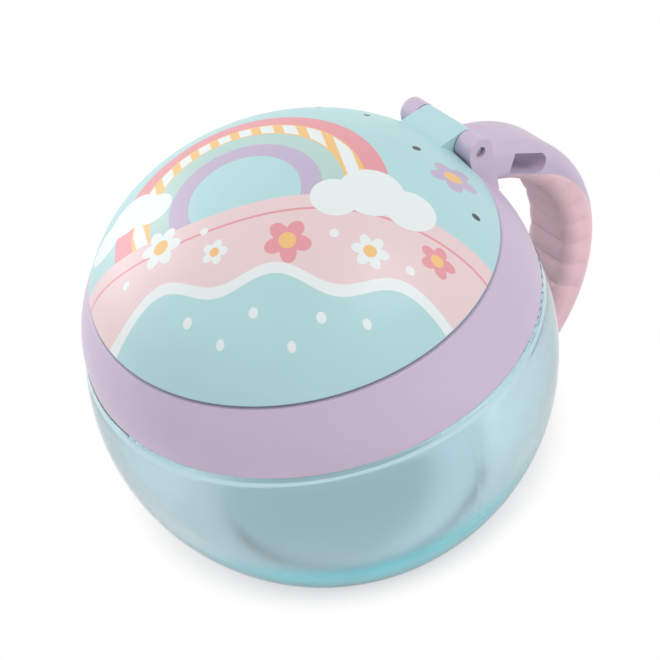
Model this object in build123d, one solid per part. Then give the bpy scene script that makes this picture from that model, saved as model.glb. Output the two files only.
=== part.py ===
from build123d import *
from math import asin, atan2, cos, degrees, pi, radians, sin, sqrt, tan
import os

# Toddler snack container: a round clear bowl, a screw-on collar with a soft-flapped mouth and a
# handle, and a domed cover that flips up on a hinge pin. Millimetres, +Z up, +Y towards the
# handle. The origin is the centre of the bowl's flat base.

# ---- Bowl ----
BOWL_RADIUS = 48.0  # outside of the round body
BASE_RADIUS = 27.7  # flat base, before its rounded edge
BOWL_WALL = 2.2
BOWL_FLOOR = 4.5  # thick base
BASE_EDGE_ROUND = 2.5
FLOOR_ROUND = 8.0  # inside corner between floor and wall
SHOULDER_RISE = 12.2  # height of the collar's lower edge over the widest part of the bowl
NECK_STEP = 7.4  # how far the neck stands inside the shoulder's edge
NECK_HEIGHT = 7.25
NECK_ROUND = 0.6  # its corners, and the shoulder's
LIP_ROUND = 0.4  # top of the neck, outside
NECK_INNER_ROUND = 2.0  # inside, where the wall turns up into the neck

# ---- Screw thread between neck and collar, right-handed ----
THREAD_STARTS = 3
THREAD_LEAD = 12.0  # rise in one full turn
THREAD_DEPTH = 1.1
THREAD_ROOT_WIDTH = 1.4
THREAD_CREST_WIDTH = 1.0
THREAD_OVERLAP = 0.7  # how far the collar's ridges reach in past the neck's crests
THREAD_RADIAL_GAP = 0.4
THREAD_FLANK_GAP = 0.3
NECK_RIDGE_SWEEP = 90.0  # degrees of turn in one ridge
COLLAR_RIDGE_SWEEP = 60.0
NECK_RIDGE_RISE = 2.2  # lowest ridge centre over the shoulder
RIDGE_ROOT_SINK = 0.4  # how deep a ridge is rooted in its wall

# ---- Collar ----
COLLAR_INSET = 0.2  # collar's edge stands back this far from the shoulder's
COLLAR_LIFT = 0.3  # gap between shoulder and collar
COLLAR_LEAN = 5.1  # how much smaller the collar's radius is at the top
COLLAR_BULGE = 1.2  # how far its skin bows out at half height
RIM_SHIFT = -1.2  # the rim, mouth and cover sit this far towards the front
COLLAR_EDGE_ROUND = 0.4
COLLAR_STEPS = 4  # steps in height between the circles that its skin is drawn through
FLANGE_THICKNESS = 1.6  # inner shelf that carries the membrane
FLANGE_WIDTH = 3.4
LIP_WALL = 3.2
LIP_HEIGHT = 1.15

# ---- Seal, membrane and retaining ring ----
SEAL_THICKNESS = 1.6
SEAL_FACE_GAP = 0.05
SEAL_SIDE_GAP = 0.3
MEMBRANE_THICKNESS = 1.2
MEMBRANE_OVERHANG = 1.6  # how far the membrane's rim reaches in past the flange
FLAP_COUNT = 6
FLAP_THICKNESS = 1.0
FLAP_SLIT = 0.6
FLAP_ROOT_GAP = 0.3
FLAP_CORNER_TRIM = 0.6
FLAP_TIP_CUT = 1.8  # the tips stop this far from the middle
RETAINER_THICKNESS = 1.6
RETAINER_BEAD = 0.25  # snap bead round the retaining ring
RING_FIT = 0.15  # radial gap of the rings in their pocket

# ---- Cover ----
COVER_GAP = 0.4  # between the closed cover and the collar
COVER_INSET = 0.1  # cover's rim inside the collar's
DOME_RISE = 21.5
DOME_DROP = 8.0  # the dome's oval section is centred this far under its rim
COVER_WALL = 2.0
COVER_EDGE_ROUND = 0.5
SKIRT_WALL = 1.2
SKIRT_GAP = 0.5  # between skirt and lip
SKIRT_FLOOR_GAP = 0.3  # between skirt and ledge
SKIRT_BEAD = 0.2

# ---- Hinge ----
HINGE_INSET = 0.5  # pin centre in front of the back of the collar's rim
HINGE_RISE = 6.1  # pin centre over the collar's top
BARREL_RADIUS = 2.85
KNUCKLE_RADIUS = 2.9
TAB_WIDTH = 12.5
TAB_REACH = 8.5  # from the pin's centre forward into the dome
KNUCKLE_WIDTH = 4.55
KNUCKLE_SIDE_GAP = 0.3
KNUCKLE_SWING_GAP = 0.4
KNUCKLE_END_ROUND = 1.2
PIN_RADIUS = 1.15
PIN_PRESS_GAP = 0.02
PIN_RUNNING_GAP = 0.08
PIN_RECESS = 0.7
PIN_CHAMFER = 0.25

# ---- Handle ----
HANDLE_REACH = 21.75  # outside of the handle behind the bowl's widest part
HANDLE_WIDEST_DROP = 5.6  # its widest point under the bowl's centre
HANDLE_RADIUS = 34.0  # outside of its curve
HANDLE_THICKNESS = 8.7
HANDLE_WIDTH = 14.4
HANDLE_ROUND = 3.3  # rounding of its long edges
HANDLE_END_ANGLE = 58.0  # degrees below level, seen from the curve's centre
TENON_WIDTH = 8.0
TENON_HEIGHT = 4.6
TENON_DEPTH = 1.5
SLOT_LENGTH = 9.9
SLOT_WIDTH = 4.5
SLOT_ANGLE = 53.0  # degrees over level, seen from the curve's centre
SLOT_LEAN = 4.0  # degrees that the slot turns up out of the curve
SLOT_OUTER_ROUND = 2.0
SLOT_INNER_ROUND = 0.5
CORE_WIDTH = 7.0  # tongue of the frame inside the grip
CORE_BACK_COVER = 1.2  # grip over the tongue, behind and on the finger side
CORE_FINGER_COVER = 2.4
CORE_END_SHORT = 7.0  # degrees that the tongue stops short of the handle's end
# Edge between spine and grip: degrees over level, and millimetres over the finger side
SPINE_EDGE = [(66, -1.0), (62, 1.3), (52, 1.8), (34, 4.1), (16, 6.2), (0, 7.7), (-16, 9.4)]
GRIP_RIDGES = 8  # rounded ridges across the finger side, with a crease between neighbours
GRIP_RIDGE_RADIUS = 5.5
GRIP_RIDGE_PITCH = 11.0  # degrees between crests
GRIP_TOP_CREST = 38.5  # degrees over level of the first crest
GRIP_CREST_TRIM = 0.05  # how much of each crest the finger side cuts off

CLEAR = 1.0  # how far a cutting shape stands past what it cuts

# ---- Worked-out places ----
bowl_centre_z = sqrt(BOWL_RADIUS**2 - BASE_RADIUS**2)
collar_bottom = bowl_centre_z + SHOULDER_RISE
shoulder_z = collar_bottom - COLLAR_LIFT
shoulder_radius = sqrt(BOWL_RADIUS**2 - (shoulder_z - bowl_centre_z) ** 2)
neck_radius = shoulder_radius - NECK_STEP
neck_inside = neck_radius - BOWL_WALL
neck_top = shoulder_z + NECK_HEIGHT
bore_radius = neck_radius + THREAD_DEPTH + THREAD_RADIAL_GAP

seal_bottom = neck_top + SEAL_FACE_GAP
flange_bottom = seal_bottom + SEAL_THICKNESS + SEAL_FACE_GAP
flange_top = flange_bottom + FLANGE_THICKNESS
retainer_bottom = flange_top + MEMBRANE_THICKNESS
retainer_middle = retainer_bottom + RETAINER_THICKNESS / 2
ledge_z = retainer_bottom + RETAINER_THICKNESS
collar_top = ledge_z + LIP_HEIGHT
collar_height = collar_top - collar_bottom

collar_radius = shoulder_radius - COLLAR_INSET
rim_radius = collar_radius - COLLAR_LEAN
lip_inside = rim_radius - LIP_WALL
skirt_outside = lip_inside - SKIRT_GAP
skirt_inside = skirt_outside - SKIRT_WALL
pocket_radius = skirt_inside - SEAL_SIDE_GAP
flange_inside = pocket_radius - FLANGE_WIDTH
opening_radius = flange_inside - MEMBRANE_OVERHANG
ring_outside = pocket_radius - RING_FIT

cover_radius = rim_radius - COVER_INSET
cover_rim = collar_top + COVER_GAP
dome_centre_z = cover_rim - DOME_DROP
dome_height = DOME_RISE + DOME_DROP
dome_radius = cover_radius / sqrt(1 - (DOME_DROP / dome_height) ** 2)
skirt_bottom = ledge_z + SKIRT_FLOOR_GAP

rim_back = RIM_SHIFT + rim_radius
hinge_y = rim_back - HINGE_INSET
hinge_z = collar_top + HINGE_RISE
block_back = hinge_y + KNUCKLE_RADIUS
knuckle_inner_x = TAB_WIDTH / 2 + KNUCKLE_SIDE_GAP
knuckle_outer_x = knuckle_inner_x + KNUCKLE_WIDTH

handle_z = bowl_centre_z - HANDLE_WIDEST_DROP
handle_outside = BOWL_RADIUS + HANDLE_REACH
handle_y = handle_outside - HANDLE_RADIUS
handle_top = handle_z + sqrt(HANDLE_RADIUS**2 - (block_back - handle_y) ** 2)
handle_middle_radius = HANDLE_RADIUS - HANDLE_THICKNESS / 2
handle_root_z = handle_z + sqrt(handle_middle_radius**2 - (block_back - handle_y) ** 2)


def turned(outline):
    """A solid of revolution about Z from an outline of (radius, height) points."""
    return revolve(Plane.XZ * outline, Axis.Z)


def side_cut(outline, width):
    """A block of the given width, centred on X = 0, from an outline of (y, z) points."""
    return extrude(Plane.YZ * outline, amount=width / 2, both=True)


def rounded(face, corners):
    """Rounds corners of a flat outline, each given as its point and radius."""
    for point, radius in corners:
        corner = face.vertices().sort_by_distance(point)[0]
        face = face.fillet_2d(radius, [corner])
    return face


def on_circle(centre, radius, angle):
    """The point of a circle at an angle in degrees."""
    turn = radians(angle)
    return (centre[0] + radius * cos(turn), centre[1] + radius * sin(turn))


def arc(centre, radius, start, end):
    """An arc from one angle to another, in degrees."""
    middle = (start + end) / 2
    return ThreePointArc(
        on_circle(centre, radius, start),
        on_circle(centre, radius, middle),
        on_circle(centre, radius, end),
    )


def disc(radius, bottom, top):
    """An upright cylinder about Z."""
    upright = (Align.CENTER, Align.CENTER, Align.MIN)
    return Pos(0, 0, bottom) * Cylinder(radius, top - bottom, align=upright)


def ring(inner, outer, bottom, top):
    """A plain ring about Z."""
    return disc(outer, bottom, top) - disc(inner, bottom, top)


def across(radius, x_low, x_high):
    """A cylinder along X on the hinge's axis."""
    middle = (x_low + x_high) / 2
    return Pos(middle, hinge_y, hinge_z) * Rot(0, 90, 0) * Cylinder(radius, x_high - x_low)


def ridges(root, crest, low_centre, sweep_angle, first_angle):
    """The thread's helical ridges, one for each start, from a root radius to a crest radius."""
    rooted = root + (RIDGE_ROOT_SINK if crest < root else -RIDGE_ROOT_SINK)
    section = Plane.XZ * make_face(
        Polyline(
            (rooted, -THREAD_ROOT_WIDTH / 2),
            (crest, -THREAD_CREST_WIDTH / 2),
            (crest, THREAD_CREST_WIDTH / 2),
            (rooted, THREAD_ROOT_WIDTH / 2),
            close=True,
        )
    )
    path = Helix(pitch=THREAD_LEAD, height=THREAD_LEAD * sweep_angle / 360, radius=rooted)
    ridge = sweep(section, path=path, is_frenet=True)
    return [
        Rot(0, 0, first_angle + turn * 360 / THREAD_STARTS) * Pos(0, 0, low_centre) * ridge
        for turn in range(THREAD_STARTS)
    ]


def make_bowl():
    centre = (0, bowl_centre_z)
    inner_radius = BOWL_RADIUS - BOWL_WALL
    under_z = shoulder_z - BOWL_WALL
    under_radius = sqrt(inner_radius**2 - (under_z - bowl_centre_z) ** 2)
    floor_radius = sqrt(inner_radius**2 - (BOWL_FLOOR - bowl_centre_z) ** 2)
    outside = arc(
        centre,
        BOWL_RADIUS,
        degrees(atan2(-bowl_centre_z, BASE_RADIUS)),
        degrees(atan2(shoulder_z - bowl_centre_z, shoulder_radius)),
    )
    inside = arc(
        centre,
        inner_radius,
        degrees(atan2(under_z - bowl_centre_z, under_radius)),
        degrees(atan2(BOWL_FLOOR - bowl_centre_z, floor_radius)),
    )
    neck = Polyline(
        (shoulder_radius, shoulder_z),
        (neck_radius, shoulder_z),
        (neck_radius, neck_top),
        (neck_inside, neck_top),
        (neck_inside, under_z),
        (under_radius, under_z),
    )
    floor = Polyline((floor_radius, BOWL_FLOOR), (0, BOWL_FLOOR), (0, 0), (BASE_RADIUS, 0))
    edges = [*outside.edges(), *neck.edges(), *inside.edges(), *floor.edges()]
    outline = rounded(
        make_face(edges).face(),
        [
            ((BASE_RADIUS, 0), BASE_EDGE_ROUND),
            ((shoulder_radius, shoulder_z), NECK_ROUND),
            ((neck_radius, shoulder_z), NECK_ROUND),
            ((neck_radius, neck_top), LIP_ROUND),
            ((neck_inside, neck_top), NECK_ROUND),
            ((neck_inside, under_z), NECK_INNER_ROUND),
            ((under_radius, under_z), NECK_INNER_ROUND),
            ((floor_radius, BOWL_FLOOR), FLOOR_ROUND),
        ],
    )
    body = turned(outline)
    crest = neck_radius + THREAD_DEPTH
    for ridge in ridges(neck_radius, crest, shoulder_z + NECK_RIDGE_RISE, NECK_RIDGE_SWEEP, 0):
        body += ridge
    return body


def collar_circle(share):
    """The collar's outer outline at a share of its height, as radius, shift and height."""
    bow = 4 * share * (1 - share) * COLLAR_BULGE
    radius = collar_radius - COLLAR_LEAN * share + bow
    return radius, RIM_SHIFT * share, collar_bottom + collar_height * share


def make_collar(handle):
    sections = []
    for step in range(COLLAR_STEPS + 1):
        radius, shift, height = collar_circle(step / COLLAR_STEPS)
        sections.append(Pos(0, shift, height) * Circle(radius))
    skin = loft(sections)
    edges = skin.edges().sort_by(Axis.Z)
    skin = fillet([edges[0], edges[-1]], COLLAR_EDGE_ROUND)

    # Hinge block: a pad behind the rim, with a knuckle on a lug at each side
    block_front = hinge_y - KNUCKLE_RADIUS
    block_bottom = handle_root_z - TENON_HEIGHT / 2
    pad_step = rim_back + COVER_GAP
    pad = Polyline(
        (block_front, block_bottom),
        (block_back, block_bottom),
        (block_back, handle_top),
        (pad_step, handle_top),
        (pad_step, collar_top),
        (block_front, collar_top),
        close=True,
    )
    block = side_cut(make_face(pad), 2 * knuckle_outer_x)
    lug = Polyline(
        (block_front, block_bottom),
        (block_back, block_bottom),
        (block_back, hinge_z),
        (block_front, hinge_z),
        close=True,
    )
    lug_side = make_face(lug) + Pos(hinge_y, hinge_z) * Circle(KNUCKLE_RADIUS)
    both_lugs = side_cut(lug_side, 2 * knuckle_outer_x) - side_cut(lug_side, 2 * knuckle_inner_x)
    left, right = both_lugs.solids().sort_by(Axis.X)
    left_end = left.faces().sort_by(Axis.X)[0]
    left = fillet(left_end.edges().sort_by(Axis.Z)[-1], KNUCKLE_END_ROUND)
    body = skin + block + left + right

    # Room for the neck, the rings and the cover's skirt
    body -= disc(bore_radius, collar_bottom - CLEAR, flange_bottom)
    mouth = disc(flange_inside, flange_bottom - CLEAR, collar_top + CLEAR)
    mouth += disc(pocket_radius, flange_top, collar_top + CLEAR)
    mouth += disc(lip_inside, ledge_z, collar_top + CLEAR)
    mouth += turned(snap_bead(pocket_radius, RETAINER_BEAD, retainer_middle))
    body -= Pos(0, RIM_SHIFT, 0) * mouth

    body -= handle
    body -= across(PIN_RADIUS + PIN_PRESS_GAP, PIN_RECESS - knuckle_outer_x, knuckle_outer_x + CLEAR)
    drop = THREAD_ROOT_WIDTH + THREAD_FLANK_GAP
    crest = neck_radius + THREAD_DEPTH - THREAD_OVERLAP
    low_centre = shoulder_z + NECK_RIDGE_RISE - drop
    middle_turn = (NECK_RIDGE_SWEEP - COLLAR_RIDGE_SWEEP) / 2
    rise = THREAD_LEAD * middle_turn / 360
    for ridge in ridges(bore_radius, crest, low_centre + rise, COLLAR_RIDGE_SWEEP, middle_turn):
        body += ridge
    return body


def snap_bead(wall, size, middle):
    """A three-sided snap bead on a round wall, as an outline."""
    bead = Polyline(
        (wall - size, middle - 2 * size),
        (wall + size, middle),
        (wall - size, middle + 2 * size),
        close=True,
    )
    return make_face(bead)


def make_retaining_ring():
    body = ring(flange_inside, ring_outside, retainer_bottom, ledge_z)
    body += turned(snap_bead(ring_outside, RETAINER_BEAD, retainer_middle))
    return Pos(0, RIM_SHIFT, 0) * body


def make_membrane_ring():
    mouth = RegularPolygon(opening_radius, FLAP_COUNT, rotation=180 / FLAP_COUNT)
    sheet = extrude(Circle(ring_outside) - mouth, amount=MEMBRANE_THICKNESS)
    return Pos(0, RIM_SHIFT, flange_top) * sheet


def make_flap(number):
    """One soft flap, hinged along one side of the membrane's many-sided opening."""
    half_angle = pi / FLAP_COUNT
    root_round = FLAP_THICKNESS / 2
    root = opening_radius * cos(half_angle) - FLAP_ROOT_GAP - root_round
    slit = FLAP_SLIT / 2 / cos(half_angle)
    root_half = root * tan(half_angle) - slit - FLAP_CORNER_TRIM
    tip_half = FLAP_TIP_CUT * tan(half_angle) - slit
    blade = Polyline(
        (root, -root_half),
        (root, root_half),
        (FLAP_TIP_CUT, tip_half),
        (FLAP_TIP_CUT, -tip_half),
        close=True,
    )
    body = extrude(make_face(blade), amount=root_round, both=True)
    body += Pos(root, 0, 0) * Rot(90, 0, 0) * Cylinder(root_round, 2 * root_half)
    height = flange_top + MEMBRANE_THICKNESS / 2
    return Pos(0, RIM_SHIFT, height) * Rot(0, 0, number * 360 / FLAP_COUNT) * body


def make_seal():
    return ring(neck_inside, bore_radius - SEAL_SIDE_GAP, seal_bottom, seal_bottom + SEAL_THICKNESS)


def dome_region(inset):
    """The region from the axis out to the dome's oval, inset all round, above the rim."""
    radius = dome_radius - inset
    height = dome_height - inset
    low = asin(DOME_DROP / height)
    pull = 4 / 3 * tan((pi / 2 - low) / 4)  # makes the cubic curve follow the oval
    rim = (radius * cos(low), cover_rim)
    top = (0, dome_centre_z + height)
    curve = Bezier(
        top,
        (pull * radius, top[1]),
        (rim[0] - pull * radius * sin(low), rim[1] + pull * height * cos(low)),
        rim,
    )
    sides = Polyline(rim, (0, cover_rim), top)
    return make_face([*curve.edges(), *sides.edges()]).face()


def make_cover():
    outer = rounded(dome_region(0), [((cover_radius, cover_rim), COVER_EDGE_ROUND)])
    shell = turned(outer)

    # Flat tab from the dome back to the barrel, level with the barrel's crest
    tab_front = hinge_y - TAB_REACH
    tab_side = Polyline(
        (tab_front, cover_rim),
        (hinge_y - BARREL_RADIUS / 2, cover_rim),
        (hinge_y, hinge_z),
        (hinge_y, hinge_z + BARREL_RADIUS),
        (tab_front, hinge_z + BARREL_RADIUS),
        close=True,
    )
    tab = side_cut(make_face(tab_side) + Pos(hinge_y, hinge_z) * Circle(BARREL_RADIUS), TAB_WIDTH)
    body = Pos(0, RIM_SHIFT, 0) * shell + tab
    body -= Pos(0, RIM_SHIFT, 0) * turned(dome_region(COVER_WALL))

    # Skirt that drops inside the collar's lip, with a shallow snap bead
    reach = skirt_inside / (dome_radius - COVER_WALL)
    wall_inside_z = dome_centre_z + (dome_height - COVER_WALL) * sqrt(1 - reach**2)
    skirt_top = wall_inside_z + COVER_WALL / 4
    skirt = ring(skirt_inside, skirt_outside, skirt_bottom, skirt_top)
    bead_z = (skirt_bottom + collar_top) / 2
    bead = turned(snap_bead(skirt_outside, SKIRT_BEAD, bead_z))
    body += Pos(0, RIM_SHIFT, 0) * (skirt + bead)

    # Room for the knuckles, and the pin's running bore
    swing = KNUCKLE_RADIUS + KNUCKLE_SWING_GAP
    notch_side = make_face(
        Polyline(
            (hinge_y - swing, cover_rim - CLEAR),
            (hinge_y + swing, cover_rim - CLEAR),
            (hinge_y + swing, hinge_z),
            (hinge_y - swing, hinge_z),
            close=True,
        )
    )
    notch_side += Pos(hinge_y, hinge_z) * Circle(swing)
    notch_width = 2 * (knuckle_outer_x + KNUCKLE_SWING_GAP)
    body -= side_cut(notch_side, notch_width) - side_cut(notch_side, TAB_WIDTH)
    body -= across(PIN_RADIUS + PIN_RUNNING_GAP, -TAB_WIDTH, TAB_WIDTH)
    return body


def make_pin():
    left = -knuckle_outer_x + PIN_RECESS + PIN_RUNNING_GAP
    right = knuckle_outer_x - PIN_RECESS
    pin = across(PIN_RADIUS, left, right)
    return chamfer(pin.edges().filter_by(GeomType.CIRCLE), PIN_CHAMFER)


def handle_arc(inset, end_angle):
    """The handle's curve, inset from its back, from the collar down."""
    radius = HANDLE_RADIUS - inset
    root = block_back - handle_y
    start = degrees(atan2(sqrt(radius**2 - root**2), root))
    return arc((handle_y, handle_z), radius, start, -end_angle)


def handle_band(back_inset, finger_inset, end_angle):
    """A band along the handle with a round end, as a (y, z) outline."""
    back = handle_arc(back_inset, end_angle)
    finger = handle_arc(finger_inset, end_angle)
    half = (finger_inset - back_inset) / 2
    end_centre = on_circle((handle_y, handle_z), HANDLE_RADIUS - back_inset - half, -end_angle)
    end = arc(end_centre, half, -end_angle, -end_angle - 180)
    root = Line(finger @ 0, back @ 0)
    return make_face([edge for part in (back, end, finger, root) for edge in part.edges()])


def over_finger_side(angle, height):
    """A (y, z) point beside the handle, from its angle and its height over the finger side."""
    return on_circle((handle_y, handle_z), HANDLE_RADIUS - HANDLE_THICKNESS + height, angle)


def crease_region():
    """What the grip's ridges leave free on the finger side, as a (y, z) outline."""
    crests = [GRIP_TOP_CREST - number * GRIP_RIDGE_PITCH for number in range(GRIP_RIDGES)]
    near_bowl, in_grip = [
        Polyline(*[over_finger_side(angle, height) for angle in crests])
        for height in (-GRIP_RIDGE_RADIUS / 2, GRIP_RIDGE_RADIUS / 2)
    ]
    ends = [Line(near_bowl @ 0, in_grip @ 0), Line(near_bowl @ 1, in_grip @ 1)]
    region = make_face([edge for part in (near_bowl, in_grip, *ends) for edge in part.edges()])
    for angle in crests:
        centre = over_finger_side(angle, GRIP_RIDGE_RADIUS - GRIP_CREST_TRIM)
        region -= Pos(*centre) * Circle(GRIP_RIDGE_RADIUS)
    return region


def make_handle():
    """The handle's lavender frame and its soft grip, parted from one rounded form."""
    form = side_cut(handle_band(0, HANDLE_THICKNESS, HANDLE_END_ANGLE), HANDLE_WIDTH)
    side_edges = form.faces().filter_by(Axis.X).edges()
    form = fillet([edge for edge in side_edges if edge.geom_type == GeomType.CIRCLE], HANDLE_ROUND)

    # The spine lies behind this edge, and the grip in front of it
    edge_points = [over_finger_side(angle, height) for angle, height in SPINE_EDGE]
    first, last = edge_points[0], edge_points[-1]
    clear_y = handle_outside + HANDLE_THICKNESS
    clear_z = handle_top + HANDLE_THICKNESS
    root_clear_y = block_back - TENON_DEPTH
    outer_side = Polyline(
        last,
        (clear_y, last[1]),
        (clear_y, clear_z),
        (root_clear_y, clear_z),
        (root_clear_y, first[1]),
        first,
    )
    behind = make_face([*Spline(*edge_points).edges(), *outer_side.edges()])
    core = handle_band(
        CORE_BACK_COVER, HANDLE_THICKNESS - CORE_FINGER_COVER, HANDLE_END_ANGLE - CORE_END_SHORT
    )
    root_side = make_face(
        Polyline(
            (root_clear_y, handle_root_z - TENON_HEIGHT / 2),
            (first[0], handle_root_z - TENON_HEIGHT / 2),
            (first[0], handle_root_z + TENON_HEIGHT / 2),
            (root_clear_y, handle_root_z + TENON_HEIGHT / 2),
            close=True,
        )
    )
    frame = form & side_cut(behind, HANDLE_WIDTH * 2)
    frame += side_cut(core, CORE_WIDTH)
    grip = form - frame
    frame += side_cut(root_side, TENON_WIDTH)

    slot = fillet(Rectangle(SLOT_LENGTH, SLOT_WIDTH).vertices().group_by(Axis.X)[-1], SLOT_OUTER_ROUND)
    slot = fillet(slot.vertices().group_by(Axis.X)[0], SLOT_INNER_ROUND)
    slot_y, slot_z = over_finger_side(SLOT_ANGLE, HANDLE_THICKNESS / 2)
    slot = Pos(slot_y, slot_z) * Rot(0, 0, SLOT_ANGLE - 90 + SLOT_LEAN) * slot
    frame -= side_cut(slot, HANDLE_WIDTH * 2)

    grip -= side_cut(crease_region(), HANDLE_WIDTH * 2)
    return frame, grip


if __name__ == "__main__":
    os.makedirs("parts", exist_ok=True)
    handle_frame, handle_grip = make_handle()
    pieces = {
        "bowl": make_bowl(),
        "bowl_seal": make_seal(),
        "collar": make_collar(handle_frame),
        "membrane_ring": make_membrane_ring(),
        "retaining_ring": make_retaining_ring(),
        "flip_cover": make_cover(),
        "hinge_pin": make_pin(),
        "handle_frame": handle_frame,
        "handle_grip": handle_grip,
    }
    for number in range(FLAP_COUNT):
        pieces[f"flap_{number + 1}"] = make_flap(number)
    for name, piece in pieces.items():
        export_step(piece, f"parts/{name}.step")
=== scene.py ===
from math import atan2, cos, degrees, hypot, radians, sin, sqrt

import bmesh
import bpy
from mathutils import Euler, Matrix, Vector


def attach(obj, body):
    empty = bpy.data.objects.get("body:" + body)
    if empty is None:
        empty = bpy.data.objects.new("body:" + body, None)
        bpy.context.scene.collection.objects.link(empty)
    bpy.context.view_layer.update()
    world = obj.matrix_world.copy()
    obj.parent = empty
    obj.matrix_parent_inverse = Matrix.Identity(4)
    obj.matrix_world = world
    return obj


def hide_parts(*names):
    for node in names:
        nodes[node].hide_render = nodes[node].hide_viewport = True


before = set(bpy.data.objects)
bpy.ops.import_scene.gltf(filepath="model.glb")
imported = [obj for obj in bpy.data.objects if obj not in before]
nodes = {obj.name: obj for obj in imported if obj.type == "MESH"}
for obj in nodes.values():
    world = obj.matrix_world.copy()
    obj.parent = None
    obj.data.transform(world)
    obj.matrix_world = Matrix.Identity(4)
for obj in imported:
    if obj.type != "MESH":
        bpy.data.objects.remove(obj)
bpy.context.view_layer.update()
scene = bpy.context.scene

# ---- Sizes, in metres, of what the looks are laid out on ----
DOME_CENTRE_Y = -0.0012
BOWL_CENTRE = (0.0, 0.0, 0.0392)
BOWL_SKIN = (0.0465, 0.0475)  # radii between the bowl's inner and outer face
TINT_HEIGHT = (0.031, 0.02)  # heights over which the tint of the bowl's low wall comes in
TINT_SLOPE = (0.5, 0.66)  # the same for how far its surface is looked along

# The handle's curve, in millimetres and degrees over level seen from its centre
CURVE_CENTRE = (35.75, 33.6)
FINGER_RADIUS = 25.3
RIB_TOP = 38.5
RIB_PITCH = 11.0
RIB_COUNT = 8
RIB_RADIUS = 5.5
RIB_CUTS = 8  # cuts in one rib
SIDE_START, SIDE_FULL = 3.0, 6.5  # distances from the middle between which the side's ribs come in
SPINE_EDGE, SPINE_SLOPE = 7.4, 0.106  # grip's depth at level, and what it loses with each degree
RIB_DEEPEST = 7.0  # how far from the finger side the ribs may go
RIB_FADE = 3.5
LONGEST_EDGE = 0.0012
SLIVER = 0.00001  # edges shorter than this are dissolved
SHARP_ANGLE = 60.0  # the creases between ribs stay soft, and only the corners at the spine are sharp

# ---- Light ----
ROOM_LEVEL = 0.7
FLOOR_GAP = 0.0002  # keeps the floor and the bowl's base apart
SHADOW_CENTRE = (-0.0122, 0.0068, 0.0)
SHADOW_FADE = (0.041, 0.0505)
SHADOW_GLOW = 0.5  # how far the shadow is lightened
UNDER_GLOW = 0.62  # the same where the clear bowl shows it, under its base
UNDER_CENTRE = (-0.0056, -0.01, 0.0)
UNDER_FADE = (0.024, 0.034)
MIRROR_FADE = (0.04, 0.06)  # gloss shows the real floor inside this, and plain white outside it

# ---- Camera, as the photograph was taken ----
CAMERA_PLACE = (0.30643, -0.17029, 0.36707)
CAMERA_TURN = (46.5032, 10.1961, 50.9935)
CAMERA_LENS = 128.62


def colour(text):
    """A linear colour from a six-figure hex code."""
    parts = [int(text[i:i + 2], 16) / 255 for i in (0, 2, 4)]
    linear = [c / 12.92 if c <= 0.04045 else ((c + 0.055) / 1.055) ** 2.4 for c in parts]
    return (*linear, 1.0)


AQUA = colour("b4dadd")
LAVENDER = colour("cdbcd3")
PINK = colour("f1cad3")
PALE_PINK = colour("e8cfd1")
WHITE = colour("e6eded")
CORAL = colour("e39aa2")
CHARCOAL = colour("47494b")
YELLOW = colour("efc27e")
MINT = colour("b5d3cd")
LILAC = colour("bfb2cc")


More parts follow.
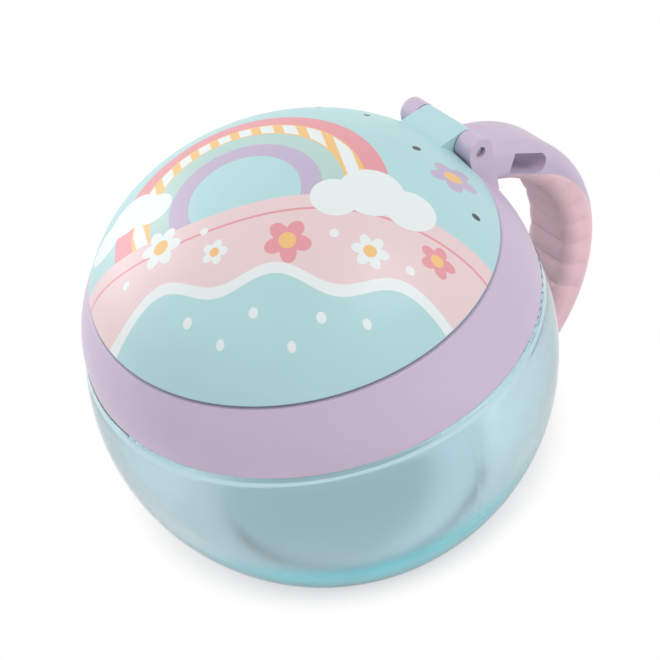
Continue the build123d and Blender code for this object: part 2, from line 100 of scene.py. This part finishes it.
class Shader:
    """A material's node tree, with short calls for the nodes that the looks are made of."""

    def __init__(self, name):
        self.material = bpy.data.materials.new(name)
        self.material.use_nodes = True
        self.tree = self.material.node_tree
        self.tree.nodes.clear()
        self.output = self.tree.nodes.new("ShaderNodeOutputMaterial")
        self.body = self.tree.nodes.new("ShaderNodeBsdfPrincipled")
        self.tree.links.new(self.body.outputs[0], self.output.inputs["Surface"])
        where = self.tree.nodes.new("ShaderNodeTexCoord")
        self.place = where.outputs["Object"]
        self.facing = where.outputs["Normal"]

    def put(self, socket, value):
        """Sets a socket to a number, or links another socket to it."""
        if isinstance(value, bpy.types.NodeSocket):
            self.tree.links.new(value, socket)
        else:
            socket.default_value = value

    def set(self, **values):
        """Sets the main shader's sockets, named with underscores for spaces."""
        for name, value in values.items():
            self.put(self.body.inputs[name.replace("_", " ")], value)
        return self

    def math(self, operation, *values):
        node = self.tree.nodes.new("ShaderNodeMath")
        node.operation = operation
        for socket, value in zip(node.inputs, values):
            self.put(socket, value)
        return node.outputs[0]

    def vector(self, operation, *values):
        node = self.tree.nodes.new("ShaderNodeVectorMath")
        node.operation = operation
        for socket, value in zip(node.inputs, values):
            self.put(socket, value)
        return node.outputs["Value" if operation in ("LENGTH", "DISTANCE", "DOT_PRODUCT") else "Vector"]

    def ramp(self, value, low, high, out_low=0.0, out_high=1.0):
        """A smooth step of a value from one level to another."""
        node = self.tree.nodes.new("ShaderNodeMapRange")
        node.interpolation_type = "SMOOTHSTEP"
        for name, number in (("From Min", low), ("From Max", high), ("To Min", out_low), ("To Max", out_high)):
            node.inputs[name].default_value = number
        self.put(node.inputs["Value"], value)
        return node.outputs[0]

    def noise(self, scale, detail=2.0, roughness=0.5, stretch=None):
        node = self.tree.nodes.new("ShaderNodeTexNoise")
        node.inputs["Scale"].default_value = scale
        node.inputs["Detail"].default_value = detail
        node.inputs["Roughness"].default_value = roughness
        place = self.place if stretch is None else self.vector("MULTIPLY", self.place, stretch)
        self.put(node.inputs["Vector"], place)
        return node.outputs["Fac"]

    def mix(self, share, first, second):
        node = self.tree.nodes.new("ShaderNodeMix")
        node.data_type = "RGBA"
        self.put(node.inputs[0], share)
        self.put(node.inputs[6], first)
        self.put(node.inputs[7], second)
        return node.outputs[2]

    def bump(self, height, distance, strength=1.0, normal=None):
        node = self.tree.nodes.new("ShaderNodeBump")
        node.inputs["Strength"].default_value = strength
        node.inputs["Distance"].default_value = distance
        self.put(node.inputs["Height"], height)
        if normal is not None:
            self.put(node.inputs["Normal"], normal)
        self.put(self.body.inputs["Normal"], node.outputs[0])
        return node.outputs[0]

    def varied(self, base, depth=0.05, scale=45.0):
        """A colour that drifts a little over the surface."""
        darker = tuple(c * (1 - depth) for c in base[:3]) + (1.0,)
        return self.mix(self.ramp(self.noise(scale, 3.0), 0.3, 0.7), darker, base)

    def moulded(self, low, high, grain=0.000012):
        """A moulded surface: gentle waves, a fine grain and uneven gloss."""
        self.set(Roughness=self.ramp(self.noise(120.0, 3.0), 0.3, 0.7, low, high))
        waves = self.bump(self.noise(30.0, 1.0), 0.00006)
        self.bump(self.noise(2600.0, 2.0), grain, normal=waves)
        return self


def dress(material, *names):
    for name in names:
        mesh = nodes[name].data
        mesh.materials.clear()
        mesh.materials.append(material)


def soft_edge(shader, distance, width=0.09):
    """1 inside an outline and 0 outside it, from a signed distance in millimetres."""
    return shader.ramp(distance, width, -width)


class Print:
    """Flat artwork on the dome, laid out in millimetres: p to the right and q away in the photograph."""

    def __init__(self, shader, ground):
        self.s = shader
        self.paint = ground
        turn = radians(45)
        centred = shader.vector("SUBTRACT", shader.place, (0.0, DOME_CENTRE_Y, 0.0))
        right = (1000 * cos(turn), 1000 * sin(turn), 0.0)
        away = (-1000 * sin(turn), 1000 * cos(turn), 0.0)
        self.p = shader.vector("DOT_PRODUCT", centred, right)
        self.q = shader.vector("DOT_PRODUCT", centred, away)
        combine = shader.tree.nodes.new("ShaderNodeCombineXYZ")
        shader.put(combine.inputs[0], self.p)
        shader.put(combine.inputs[1], self.q)
        self.place = combine.outputs[0]

    def add(self, mask, paint):
        self.paint = self.s.mix(mask, self.paint, paint)

    def disc(self, p, q, radius):
        """Signed distance to a circle."""
        return self.s.math("SUBTRACT", self.s.vector("DISTANCE", self.place, (p, q, 0.0)), radius)

    def flower(self, p, q, radius, petals, start=0.0):
        """About the signed distance to a flower with round petals."""
        away = self.s.vector("SUBTRACT", self.place, (p, q, 0.0))
        parts = self.s.tree.nodes.new("ShaderNodeSeparateXYZ")
        self.s.put(parts.inputs[0], away)
        angle = self.s.math("ARCTAN2", parts.outputs[1], parts.outputs[0])
        turned = self.s.math("MULTIPLY_ADD", angle, petals / 2, radians(start))
        lobes = self.s.math("ABSOLUTE", self.s.math("COSINE", turned))
        edge = self.s.math("MULTIPLY_ADD", lobes, radius * 0.42, radius * 0.58)
        return self.s.math("SUBTRACT", self.s.vector("LENGTH", away), edge)

    def wave(self, level, height, length, phase):
        """About the signed distance to rolling ground below a wavy line."""
        swing = self.s.math("SINE", self.s.math("MULTIPLY_ADD", self.p, 1 / length, phase))
        return self.s.math("SUBTRACT", self.q, self.s.math("MULTIPLY_ADD", swing, height, level))

    def union(self, *distances):
        found = distances[0]
        for distance in distances[1:]:
            found = self.s.math("SMOOTH_MIN", found, distance, 0.4)
        return found

    def fill(self, distance, paint):
        self.add(soft_edge(self.s, distance), paint)

    def line(self, distance, width, paint):
        """A thin line that follows an outline."""
        off = self.s.math("SUBTRACT", self.s.math("ABSOLUTE", distance), width / 2)
        self.add(soft_edge(self.s, off), paint)


def cover_material():
    s = Shader("aqua_printed_plastic")
    art = Print(s, s.varied(AQUA, 0.04))

    # A striped arch that stands on the hills
    arch_p, arch_q = -5.0, -5.0
    for radius, paint in ((27.5, CORAL), (23.4, YELLOW), (19.3, MINT), (15.2, LILAC), (11.1, s.varied(AQUA, 0.04))):
        art.fill(art.disc(arch_p, arch_q, radius), paint)
    # White slanted bars on the arch's yellow band
    along = s.math("ADD", art.p, s.math("MULTIPLY", art.q, 0.35))
    bars = s.math("SUBTRACT", s.math("ABSOLUTE", s.math("SINE", s.math("MULTIPLY", along, 0.7))), 0.62)
    band = s.math("SUBTRACT", s.math("ABSOLUTE", art.disc(arch_p, arch_q, 21.35)), 1.7)
    art.add(s.math("MULTIPLY", soft_edge(s, band), s.ramp(bars, -0.05, 0.05)), WHITE)

    # Rolling hills, one before the other
    art.fill(art.wave(-8.0, 2.6, 13.0, 0.4), s.varied(PALE_PINK, 0.03))
    art.line(art.wave(-11.5, 2.6, 13.0, 0.4), 0.5, CORAL)
    art.fill(art.wave(-22.5, 1.7, 3.6, 0.9), WHITE)
    art.fill(art.wave(-24.6, 1.7, 3.6, 0.9), s.varied(AQUA, 0.04))

    # Clouds
    art.fill(art.union(art.disc(12.5, -6.0, 4.6), art.disc(19.0, -3.4, 6.0), art.disc(26.0, -5.8, 4.6)), WHITE)
    art.fill(art.union(art.disc(-35.5, -2.0, 3.8), art.disc(-30.0, 0.6, 5.0), art.disc(-24.0, -1.8, 3.8)), WHITE)

    # Flowers
    for p, q, radius, petals, start, paint, middle in (
        (-21.0, -13.0, 4.2, 6, 10, WHITE, YELLOW), (4.5, -16.5, 4.6, 5, 30, CORAL, YELLOW),
        (-9.5, -17.5, 2.6, 5, 0, WHITE, YELLOW), (19.5, -17.0, 3.4, 6, 15, WHITE, YELLOW),
        (31.0, -14.5, 3.0, 5, 0, CORAL, YELLOW), (32.5, 8.5, 4.2, 5, 15, LILAC, YELLOW),
    ):
        art.fill(art.flower(p, q, radius, petals, start), paint)
        art.fill(art.disc(p, q, radius * 0.36), middle)

    # Scattered dots
    for p, q, radius in (
        (-12.0, -12.5, 0.8), (13.0, -14.5, 0.9), (-28.5, -17.0, 0.8), (26.5, -18.5, 0.8), (-14.5, -29.0, 0.9),
        (-8.0, -33.5, 0.8), (-1.5, -29.5, 0.9), (5.5, -34.5, 0.8), (11.0, -30.0, 0.9), (19.0, -29.5, 0.8),
    ):
        art.fill(art.disc(p, q, radius), WHITE)
    for p, q, radius in ((25.5, 14.0, 0.8), (37.0, 0.5, 0.7), (-12.5, 28.5, 0.8), (4.0, 31.0, 0.7), (14.5, 26.0, 0.7)):
        art.fill(art.disc(p, q, radius), CHARCOAL)

    # Only the dome's outer face is printed
    upward = s.ramp(s.vector("DOT_PRODUCT", s.facing, (0.0, 0.0, 1.0)), 0.05, 0.2)
    s.set(Base_Color=s.mix(upward, s.varied(AQUA, 0.04), art.paint))
    s.set(Specular_IOR_Level=0.45, Coat_Weight=0.08, Coat_Roughness=0.3)
    s.moulded(0.38, 0.47)
    return s.material


def lavender_material():
    s = Shader("lavender_plastic")
    s.set(Base_Color=s.varied(LAVENDER), Specular_IOR_Level=0.45, Subsurface_Weight=0.08, Subsurface_Scale=0.002)
    return s.moulded(0.36, 0.45).material


def grip_material():
    s = Shader("pink_soft_grip")
    s.set(Base_Color=s.varied(PINK, 0.06), Specular_IOR_Level=0.3)
    s.set(Subsurface_Weight=0.3, Subsurface_Scale=0.0015, Subsurface_Radius=(1.0, 0.5, 0.4))
    return s.moulded(0.55, 0.68, 0.00003).material


def membrane_material():
    s = Shader("soft_membrane")
    s.set(Base_Color=s.varied(colour("d5dfe2"), 0.05), Specular_IOR_Level=0.35, Subsurface_Weight=0.3, Subsurface_Scale=0.002)
    return s.moulded(0.45, 0.6, 0.00002).material


def steel_material():
    s = Shader("steel_pin")
    grain = s.noise(900.0, 2.0, stretch=(0.1, 1.0, 1.0))
    s.set(Base_Color=s.mix(grain, colour("8d8f92"), colour("b9bbbe")), Metallic=1.0)
    s.set(Roughness=s.ramp(grain, 0.3, 0.7, 0.28, 0.4))
    s.bump(grain, 0.00001)
    return s.material


def bowl_material():
    s = Shader("clear_tinted_plastic")
    height = s.vector("DOT_PRODUCT", s.place, (0.0, 0.0, 1.0))
    # The tint gathers where the outer face of the low wall is looked at along its surface
    slope = s.tree.nodes.new("ShaderNodeLayerWeight")
    slope.inputs["Blend"].default_value = 0.5
    along = s.ramp(slope.outputs["Facing"], *TINT_SLOPE)
    outer = s.ramp(s.vector("DISTANCE", s.place, BOWL_CENTRE), *BOWL_SKIN)
    front = s.math("SUBTRACT", 1.0, s.tree.nodes.new("ShaderNodeNewGeometry").outputs["Backfacing"])
    thick = s.math("MULTIPLY", s.math("MULTIPLY", along, s.ramp(height, *TINT_HEIGHT)), s.math("MULTIPLY", outer, front))
    s.set(Base_Color=s.mix(thick, colour("f6fbfc"), colour("30e8fa")), Transmission_Weight=0.97, IOR=1.4)
    s.set(Roughness=s.ramp(s.noise(90.0, 3.0), 0.3, 0.7, 0.1, 0.13))
    s.bump(s.noise(24.0, 1.0), 0.00004)
    depth = s.tree.nodes.new("ShaderNodeVolumeAbsorption")
    depth.inputs["Color"].default_value = colour("90d2de")
    depth.inputs["Density"].default_value = 120.0
    s.tree.links.new(depth.outputs[0], s.output.inputs["Volume"])
    return s.material


def smooth(share):
    """A soft step of a share from 0 to 1."""
    share = min(1.0, max(0.0, share))
    return share * share * (3 - 2 * share)


def rib_depth(angle):
    """How far a rib's surface lies back from its crest, in millimetres."""
    if not RIB_TOP - (RIB_COUNT - 1) * RIB_PITCH < angle < RIB_TOP:
        return 0.0
    off = (RIB_TOP - angle) / RIB_PITCH
    across = radians((off - round(off)) * RIB_PITCH) * FINGER_RADIUS
    return RIB_RADIUS - sqrt(RIB_RADIUS**2 - across**2)


def make_grip(material):
    """The soft grip, with its ribs carried round onto its sides."""
    form = bmesh.new()
    form.from_mesh(nodes["handle_grip"].data)
    bmesh.ops.remove_doubles(form, verts=form.verts, dist=1e-6)
    bmesh.ops.dissolve_limit(form, angle_limit=radians(0.05), verts=form.verts[:], edges=form.edges[:])
    centre_y, centre_z = CURVE_CENTRE
    for cut in range((RIB_COUNT - 1) * RIB_CUTS + 1):
        angle = radians(RIB_TOP - cut * RIB_PITCH / RIB_CUTS)
        everything = form.verts[:] + form.edges[:] + form.faces[:]
        bmesh.ops.bisect_plane(
            form, geom=everything, dist=1e-6,
            plane_co=(0, centre_y / 1000, centre_z / 1000), plane_no=(0, -sin(angle), cos(angle)),
        )
    for _ in range(4):
        long = [edge for edge in form.edges if edge.calc_length() > LONGEST_EDGE]
        bmesh.ops.subdivide_edges(form, edges=long, cuts=1)
        bmesh.ops.triangulate(form, faces=form.faces[:])
    bmesh.ops.dissolve_degenerate(form, dist=SLIVER, edges=form.edges[:])
    bmesh.ops.triangulate(form, faces=form.faces[:])
    for vertex in form.verts:
        x, y, z = (1000 * value for value in vertex.co)
        angle = degrees(atan2(z - centre_z, y - centre_y))
        height = hypot(y - centre_y, z - centre_z) - FINGER_RADIUS
        edge = min(RIB_DEEPEST, SPINE_EDGE - SPINE_SLOPE * angle)
        share = smooth((edge - height) / RIB_FADE) * smooth((abs(x) - SIDE_START) / (SIDE_FULL - SIDE_START))
        vertex.co.x -= (1 if x > 0 else -1) * share * rib_depth(angle) / 1000
    mesh = bpy.data.meshes.new("soft_grip")
    form.to_mesh(mesh)
    form.free()
    for face in mesh.polygons:
        face.use_smooth = True
    mesh.set_sharp_from_angle(angle=radians(SHARP_ANGLE))
    mesh.materials.append(material)
    grip = bpy.data.objects.new("soft_grip", mesh)
    scene.collection.objects.link(grip)
    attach(grip, "collar")
    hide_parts("handle_grip")


def brightest(tree, *shares):
    """The largest of several shares."""
    found = shares[0]
    for share in shares[1:]:
        node = tree.nodes.new("ShaderNodeMath")
        node.operation = "MAXIMUM"
        tree.links.new(found, node.inputs[0])
        tree.links.new(share, node.inputs[1])
        found = node.outputs[0]
    return found


def set_floor():
    """A white floor that keeps the object's contact shadow and is plain white away from it."""
    mesh = bpy.data.meshes.new("floor")
    half = 3.0
    mesh.from_pydata([(-half, -half, 0), (half, -half, 0), (half, half, 0), (-half, half, 0)], [], [(0, 1, 2, 3)])
    floor = bpy.data.objects.new("floor", mesh)
    floor.location.z = -FLOOR_GAP
    scene.collection.objects.link(floor)
    s = Shader("floor")
    s.set(Base_Color=colour("fafafa"), Roughness=0.9, Specular_IOR_Level=0.1)
    glow = s.tree.nodes.new("ShaderNodeEmission")
    glow.inputs["Color"].default_value = (1, 1, 1, 1)
    path = s.tree.nodes.new("ShaderNodeLightPath")
    off = s.vector("DISTANCE", s.place, SHADOW_CENTRE)
    below = s.vector("DISTANCE", s.place, UNDER_CENTRE)
    seen = s.math("MULTIPLY", path.outputs["Is Camera Ray"], s.ramp(off, *SHADOW_FADE, SHADOW_GLOW, 1.0))
    through = s.math("MULTIPLY", path.outputs["Is Transmission Ray"], s.ramp(below, *UNDER_FADE, UNDER_GLOW, 1.0))
    mirrored = s.math("MULTIPLY", path.outputs["Is Glossy Ray"], s.ramp(off, *MIRROR_FADE))
    share = brightest(s.tree, seen, through, mirrored)
    blend = s.tree.nodes.new("ShaderNodeMixShader")
    s.put(blend.inputs[0], share)
    s.tree.links.new(s.body.outputs[0], blend.inputs[1])
    s.tree.links.new(glow.outputs[0], blend.inputs[2])
    s.tree.links.new(blend.outputs[0], s.output.inputs["Surface"])
    mesh.materials.append(s.material)


def set_world():
    """A room of even light, plain white where the camera, gloss and clear pieces look at it."""
    world = bpy.data.worlds.new("studio")
    scene.world = world
    world.use_nodes = True
    tree = world.node_tree
    tree.nodes.clear()
    output = tree.nodes.new("ShaderNodeOutputWorld")
    blend = tree.nodes.new("ShaderNodeMixShader")
    room = tree.nodes.new("ShaderNodeBackground")
    room.inputs["Color"].default_value = (1, 1, 1, 1)
    room.inputs["Strength"].default_value = ROOM_LEVEL
    seen = tree.nodes.new("ShaderNodeBackground")
    seen.inputs["Color"].default_value = (1, 1, 1, 1)
    seen.inputs["Strength"].default_value = 1.0
    path = tree.nodes.new("ShaderNodeLightPath")
    rays = [path.outputs[name] for name in ("Is Camera Ray", "Is Glossy Ray", "Is Transmission Ray")]
    tree.links.new(brightest(tree, *rays), blend.inputs[0])
    tree.links.new(room.outputs[0], blend.inputs[1])
    tree.links.new(seen.outputs[0], blend.inputs[2])
    tree.links.new(blend.outputs[0], output.inputs["Surface"])


def lamp(name, place, target, size, power):
    data = bpy.data.lights.new(name, "AREA")
    data.shape = "DISK"
    data.size = size
    data.energy = power
    light = bpy.data.objects.new(name, data)
    light.location = place
    light.rotation_euler = (Vector(target) - Vector(place)).to_track_quat("-Z", "Y").to_euler()
    scene.collection.objects.link(light)


def set_camera():
    data = bpy.data.cameras.new("camera")
    data.lens = CAMERA_LENS
    data.sensor_width = 36.0
    data.clip_start = 0.01
    camera = bpy.data.objects.new("camera", data)
    camera.location = CAMERA_PLACE
    camera.rotation_euler = Euler([radians(a) for a in CAMERA_TURN], "XYZ")
    scene.collection.objects.link(camera)
    scene.camera = camera


lavender = lavender_material()
membrane = membrane_material()
dress(lavender, "collar", "handle_frame", "retaining_ring")
dress(cover_material(), "flip_cover")
dress(membrane, "membrane_ring", "bowl_seal", *[f"flap_{k}" for k in range(1, 7)])
dress(steel_material(), "hinge_pin")
dress(bowl_material(), "bowl")
make_grip(grip_material())

set_floor()
set_world()
lamp("key", (0.45, 0.35, 0.75), (0.0, 0.0, 0.04), 0.5, 2.2)
lamp("fill", (-0.75, -0.22, 0.32), (0.0, 0.0, 0.04), 0.7, 3.0)
set_camera()
scene.view_settings.view_transform = "Standard"
